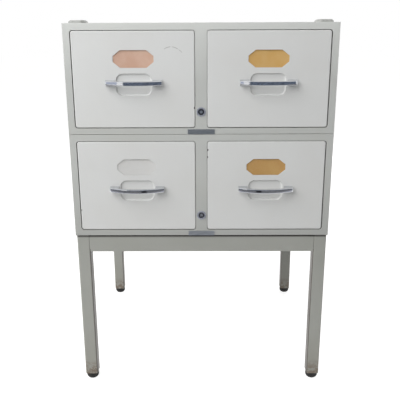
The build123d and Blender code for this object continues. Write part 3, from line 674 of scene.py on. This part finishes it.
# rivets inside each tray, at the level of its slide rails, and round each back panel
RAIL_LEVEL, RAIL_RIVETS_FROM, RAIL_RIVET_STEP, RAIL_RIVET_ROWS = 120 * MM, 40 * MM, 115 * MM, 4
TRAY_SHEET, BACK_SHEET = 1.0 * MM, 1.2 * MM
BACK_SHEET_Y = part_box("back_panel_lower")[0].y + BACK_SHEET
BACK_RIVET_MARGIN, BACK_RIVET_X = 14 * MM, (-252 * MM, -84 * MM, 84 * MM, 252 * MM)
rivet = blind_rivet(radius=3.2 * MM, height=1.3 * MM)
for drawer in DRAWERS:
    low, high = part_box(f"tray_{drawer}")
    level = MODULE_Z[drawer.split("_")[0]] + RAIL_LEVEL
    heads = []
    for row in range(RAIL_RIVET_ROWS):
        y = low.y + RAIL_RIVETS_FROM + RAIL_RIVET_STEP * row
        heads.append((FACE_RIGHT, Vector((low.x + TRAY_SHEET, y, level))))
        heads.append((FACE_LEFT, Vector((high.x - TRAY_SHEET, y, level))))
    laid_out(rivet, f"rail_rivets_{drawer}", heads, f"drawer_{drawer}", "zinc_steel")
for module, foot in MODULE_Z.items():
    heads = []
    for level in (foot + BACK_RIVET_MARGIN, foot + MODULE_HEIGHT - BACK_RIVET_MARGIN):
        heads += [(FACE_REAR, Vector((x, BACK_SHEET_Y, level))) for x in BACK_RIVET_X]
    laid_out(rivet, f"back_rivets_{module}", heads, "cabinet", "casing_paint")
put_away(rivet)

# a pin near each end of each badge plate
PIN_INSET = 4 * MM
pin = blind_rivet(radius=1.4 * MM, height=0.6 * MM)
for module in MODULES:
    low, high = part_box(f"badge_plate_{module}")
    level = (low.z + high.z) / 2
    heads = [(FACE_FRONT, Vector((x, low.y, level))) for x in (low.x + PIN_INSET, high.x - PIN_INSET)]
    laid_out(pin, f"badge_pins_{module}", heads, "cabinet", "badge_aluminium")
put_away(pin)

# upright beads in the corners between the stand's legs and rails, just inside the rails' outer faces
WELD_IN, WELD_UP = 2.2 * MM, 4.5 * MM
bead = weld_bead(length=29 * MM, size=2.0 * MM)
low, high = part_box("stand_rails")
front_leg, rear_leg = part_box("leg_front_left"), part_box("leg_rear_left")
right_leg_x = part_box("leg_front_right")[0].x
bottom = low.z + WELD_UP
corners = []
for x in (low.x + WELD_IN, high.x - WELD_IN):
    corners += [(x, front_leg[1].y), (x, rear_leg[0].y)]
for y in (front_leg[0].y + WELD_IN, rear_leg[1].y - WELD_IN):
    corners += [(front_leg[1].x, y), (right_leg_x, y)]
beads = [(UPRIGHT, Vector((x, y, bottom))) for x, y in corners]
laid_out(bead, "stand_welds", beads, "cabinet", "stand_paint")
put_away(bead)


# ---------------------------------------------------------------- stage, light and camera

def stage_material(name, colour, lift):
    """A matt surface that still takes shadows, lifted towards white wherever it is seen directly."""
    material, tree, output, _ = new_material(name)
    glow = add(tree, "Math", {0: seen_directly(tree), 1: lift}, operation="MULTIPLY")
    matt = add(tree, "BsdfDiffuse", {"Color": linear(colour)})
    light = add(tree, "Emission", {"Color": linear("#ffffff"), "Strength": glow.outputs[0]})
    both = add(tree, "AddShader", {0: matt.outputs[0], 1: light.outputs[0]})
    tree.links.new(both.outputs[0], output.inputs["Surface"])
    return material


def floor():
    """A wide pale floor."""
    side, lift = 40.0, 0.83
    bpy.ops.mesh.primitive_plane_add(size=side)
    plane = bpy.context.object
    plane.name = "floor"
    plane.data.materials.append(stage_material("pale_floor", "#bfbfbd", lift))


def mirrored_card(name, at, size, shade, glint):
    """A mottled upright card in front that glows and only reflections see: a painted reflection of a part of
    the room.
    """
    mottle_size = 0.11
    bpy.ops.mesh.primitive_plane_add(size=1.0, location=at, rotation=(radians(90), 0, 0))
    sheet = bpy.context.object
    sheet.name = name
    sheet.scale = (*size, 1.0)
    material, tree, output, _ = new_material(name + "_cloth")
    place = add(tree, "TexCoord").outputs["Object"]
    in_metres = add(tree, "Mapping", {"Vector": place, "Scale": (*size, 1.0)}).outputs[0]
    mottle = patches(tree, in_metres, mottle_size, start=0.42, full=0.6, detail=4.0)
    colour = coated(tree, linear(shade), (mottle, glint))
    tree.links.new(add(tree, "Emission", {"Color": colour}).outputs[0], output.inputs["Surface"])
    sheet.data.materials.append(material)
    sheet.visible_camera = False
    sheet.visible_diffuse = False
    sheet.visible_shadow = False
    sheet.visible_transmission = False


def soft_box(name, at, aim, side, power):
    """A square soft box that points from one place at another and is not seen in reflections."""
    lamp = bpy.data.lights.new(name, "AREA")
    lamp.shape = "SQUARE"
    lamp.size = side
    lamp.energy = power
    made = bpy.data.objects.new(name, lamp)
    made.location = at
    made.rotation_euler = (Vector(aim) - Vector(at)).to_track_quat("-Z", "Y").to_euler()
    made.visible_glossy = False
    bpy.context.collection.objects.link(made)


def daylight_room(fill):
    """A surround that is seen as plain white, and that lights everything by the dimmer fill."""
    world = bpy.data.worlds.new("daylight_room")
    bpy.context.scene.world = world
    world.use_nodes = True
    tree = world.node_tree
    tree.nodes.clear()
    strength = add(tree, "MapRange", {"Value": seen_directly(tree), "To Min": fill, "To Max": 1.0})
    sky = add(tree, "Background", {"Color": linear("#ffffff"), "Strength": strength.outputs["Result"]})
    output = add(tree, "OutputWorld")
    tree.links.new(sky.outputs[0], output.inputs["Surface"])


def camera():
    """The camera at the photograph's place."""
    made = bpy.data.objects.new("camera", bpy.data.cameras.new("camera"))
    bpy.context.collection.objects.link(made)
    made.data.lens = CAMERA_LENS
    made.data.sensor_width = CAMERA_SENSOR
    made.matrix_world = (
        Matrix.Translation(CAMERA_AT)
        @ Matrix.Rotation(radians(CAMERA_TURN), 4, "Z")
        @ Matrix.Rotation(radians(90 - CAMERA_DOWN), 4, "X")
        @ Matrix.Rotation(radians(CAMERA_ROLL), 4, "Z")
    )
    bpy.context.scene.camera = made


bpy.ops.object.select_all(action="DESELECT")
floor()
# what the chrome and the nickel mirror: place and size in metres, then the two tones of the mottling
mirrored_card("room_wall_dark", (1.08, -1.62, 0.64), (3.8, 0.92), "#252a35", "#8c97aa")
mirrored_card("curtain_pale", (-2.1, -1.6, 0.7), (1.7, 0.7), "#b3b9cc", "#c9cedd")
mirrored_card("floor_mat_grey", (0.0, -0.66, 0.1), (3.0, 0.3), "#a3a4ad", "#b9bac2")
mirrored_card("room_floor_dark", (0.0, -1.0, 0.19), (4.6, 0.46), "#6d6e72", "#85868a")
mirrored_card("camera_stand_dark", (0.0, -0.98, 0.26), (0.16, 0.3), "#2c2d31", "#3c3d42")
# place, aim and side in metres, power in watts
soft_box("window_box", at=(-1.3, -1.35, 1.9), aim=(-0.1, -0.24, 0.75), side=2.2, power=51)
soft_box("room_box", at=(0.9, 2.4, 1.7), aim=(0, 0.2, 0.6), side=1.8, power=40)
daylight_room(fill=0.33)
camera()
bpy.context.scene.view_settings.view_transform = "Standard"
